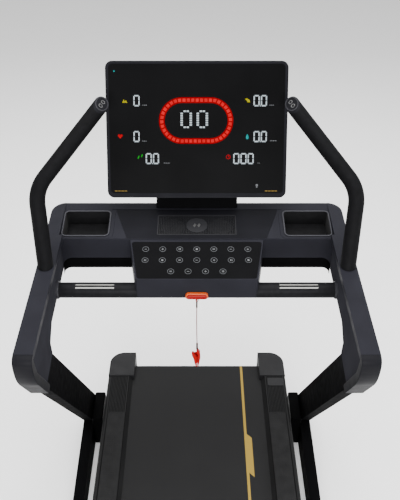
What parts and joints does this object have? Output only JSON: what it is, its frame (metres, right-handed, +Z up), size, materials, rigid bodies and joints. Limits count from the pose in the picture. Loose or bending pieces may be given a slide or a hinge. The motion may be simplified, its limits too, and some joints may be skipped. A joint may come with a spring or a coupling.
{
  "type": "incline treadmill",
  "caption": "Motorised incline treadmill with leaning posts, a tilting display over a tray console, curved handlebars and a safety key on a cord.",
  "frame": {"origin": "on the floor, in the middle of the machine's footprint", "axes": "+X to the user's right, +Y the way the user faces, +Z up"},
  "size_m": [1.0054, 1.7, 1.715],
  "materials": {
    "black_paint": "black powder coat, fine texture",
    "black_plastic": "matt black moulding",
    "grey_plastic": "dark grey moulding, fine spark texture",
    "dark_plastic": "smooth darker moulding",
    "foam": "closed-cell foam sleeve",
    "bar_sleeve": "smooth sleeve",
    "pulse_metal": "polished contact strips",
    "tray_liner": "deep black liner",
    "grille": "fine grid",
    "speaker_black": "driver housing",
    "gloss_black": "glossy touch panel",
    "key_print": "pale printed rings",
    "deck_laminate": "phenolic-faced board",
    "rail_plastic": "ribbed moulding",
    "pad_rubber": "textured rubber",
    "cap_plastic": "moulded cap",
    "motor_shell": "satin black",
    "heat_sink": "finned casting",
    "belt_fabric": "woven running belt",
    "steel": "turned steel",
    "screen_glass": "smoked screen",
    "key_red": "red moulding",
    "cord_red": "thin braided cord",
    "cord_sleeve": "crimped sleeves",
    "clip_red": "red spring clip",
    "wheel_plastic": "wheel moulding",
    "foot_rubber": "black rubber"
  },
  "bodies": {
    "base": {"base_beam_left": "black_paint", "base_beam_right": "black_paint", "base_cross_tubes": "black_paint", "foot_blocks": "black_plastic", "front_feet": "foot_rubber", "hinge_pins": "steel", "power_inlet": "black_plastic", "post_left": "black_paint", "post_right": "black_paint", "arm_cover_left": "grey_plastic", "arm_cover_right": "grey_plastic", "arm_panels": "grey_plastic", "knee_cap_left": "dark_plastic", "knee_cap_right": "dark_plastic", "handlebar_grip_left": "foam", "handlebar_grip_right": "foam", "handlebar_tubes": "steel", "handlebar_caps": "dark_plastic", "crossbar": "bar_sleeve", "crossbar_flanges": "dark_plastic", "pulse_strips": "pulse_metal", "console_top": "grey_plastic", "console_bottom": "black_plastic", "phone_trays": "tray_liner", "speaker_grille": "grille", "speakers": "speaker_black", "keypad_housing": "grey_plastic", "touch_panel": "gloss_black", "key_rings": "key_print", "display_neck": "black_paint"},
    "deck": {"deck_side_frames": "black_paint", "deck_crossmembers": "black_paint", "deck_board": "deck_laminate", "deck_cushions": "foot_rubber", "side_rails": "rail_plastic", "foot_pads": "pad_rubber", "front_cap_left": "cap_plastic", "front_cap_right": "cap_plastic", "rear_caps": "cap_plastic", "belly_pan": "black_plastic", "drive_motor": "motor_shell", "motor_controller": "heat_sink", "running_belt": "belt_fabric", "drive_belt": "foot_rubber"},
    "front_roller": {"front_roller": "steel"},
    "rear_roller": {"rear_roller": "steel"},
    "motor_pulley": {"motor_pulley": "motor_shell"},
    "lift_motor": {"lift_motor": "motor_shell"},
    "lift_rod": {"lift_rod": "steel"},
    "display": {"display_housing": "black_plastic", "display_glass": "screen_glass"},
    "safety_key": {"safety_key": "key_red", "lanyard_cord": "cord_red", "cord_fittings": "cord_sleeve", "clip_body": "clip_red"},
    "clip_jaw": {"clip_jaw": "clip_red"},
    "transport_wheel_left": {"transport_wheel_left": "wheel_plastic"},
    "transport_wheel_right": {"transport_wheel_right": "wheel_plastic"},
    "leveling_foot_left": {"leveling_foot_left": "foot_rubber"},
    "leveling_foot_right": {"leveling_foot_right": "foot_rubber"}
  },
  "joints": [
    {"name": "deck_incline", "type": "hinge", "parent": "base", "child": "deck", "pos_m": [0, -0.7, 0.11], "axis": [1, 0, 0], "range_deg": [0, 8.53]},
    {"name": "lift_motor_pivot", "type": "hinge", "parent": "base", "child": "lift_motor", "pos_m": [0, 0.2, 0.06], "axis": [1, 0, 0], "range_deg": [0, 26.7]},
    {"name": "lift_rod_slide", "type": "slide", "parent": "lift_motor", "child": "lift_rod", "axis": [0, 0.9439, 0.3304], "range_m": [0, 0.0735]},
    {"name": "front_roller_spin", "type": "hinge", "parent": "deck", "child": "front_roller", "pos_m": [0, 0.781, 0.267], "axis": [1, 0, 0], "continuous": true},
    {"name": "rear_roller_spin", "type": "hinge", "parent": "deck", "child": "rear_roller", "pos_m": [0, -0.8, 0.267], "axis": [1, 0, 0], "continuous": true},
    {"name": "motor_spin", "type": "hinge", "parent": "deck", "child": "motor_pulley", "pos_m": [-0.28, 0.64, 0.15], "axis": [1, 0, 0], "continuous": true},
    {"name": "display_tilt", "type": "hinge", "parent": "base", "child": "display", "pos_m": [0, 0.68859, 1.47024], "axis": [1, 0, 0], "range_deg": [-10, 10]},
    {"name": "safety_key_pull", "type": "slide", "parent": "base", "child": "safety_key", "axis": [0, -1, 0], "range_m": [0, 0.06]},
    {"name": "clip_squeeze", "type": "hinge", "parent": "safety_key", "child": "clip_jaw", "pos_m": [-0.0002, 0.303, 0.853], "axis": [0, 1, 0], "range_deg": [0, 20], "stiffness_Nm_per_rad": 0.2, "springref_deg": -11.46},
    {"name": "transport_wheel_left_spin", "type": "hinge", "parent": "base", "child": "transport_wheel_left", "pos_m": [-0.387, 0.712, 0.042], "axis": [1, 0, 0], "continuous": true},
    {"name": "transport_wheel_right_spin", "type": "hinge", "parent": "base", "child": "transport_wheel_right", "pos_m": [0.387, 0.712, 0.042], "axis": [1, 0, 0], "continuous": true},
    {"name": "leveling_foot_left_screw", "type": "slide", "parent": "base", "child": "leveling_foot_left", "axis": [0, 0, -1], "range_m": [0, 0.012]},
    {"name": "leveling_foot_right_screw", "type": "slide", "parent": "base", "child": "leveling_foot_right", "axis": [0, 0, -1], "range_m": [0, 0.012]}
  ],
  "couplings": [
    {"joint": "lift_motor_pivot", "follows": "deck_incline", "ratio": 3.12},
    {"joint": "lift_rod_slide", "follows": "deck_incline", "m_per_rad": 0.49},
    {"joint": "rear_roller_spin", "follows": "front_roller_spin", "ratio": 1},
    {"joint": "motor_spin", "follows": "front_roller_spin", "ratio": 2}
  ]
}
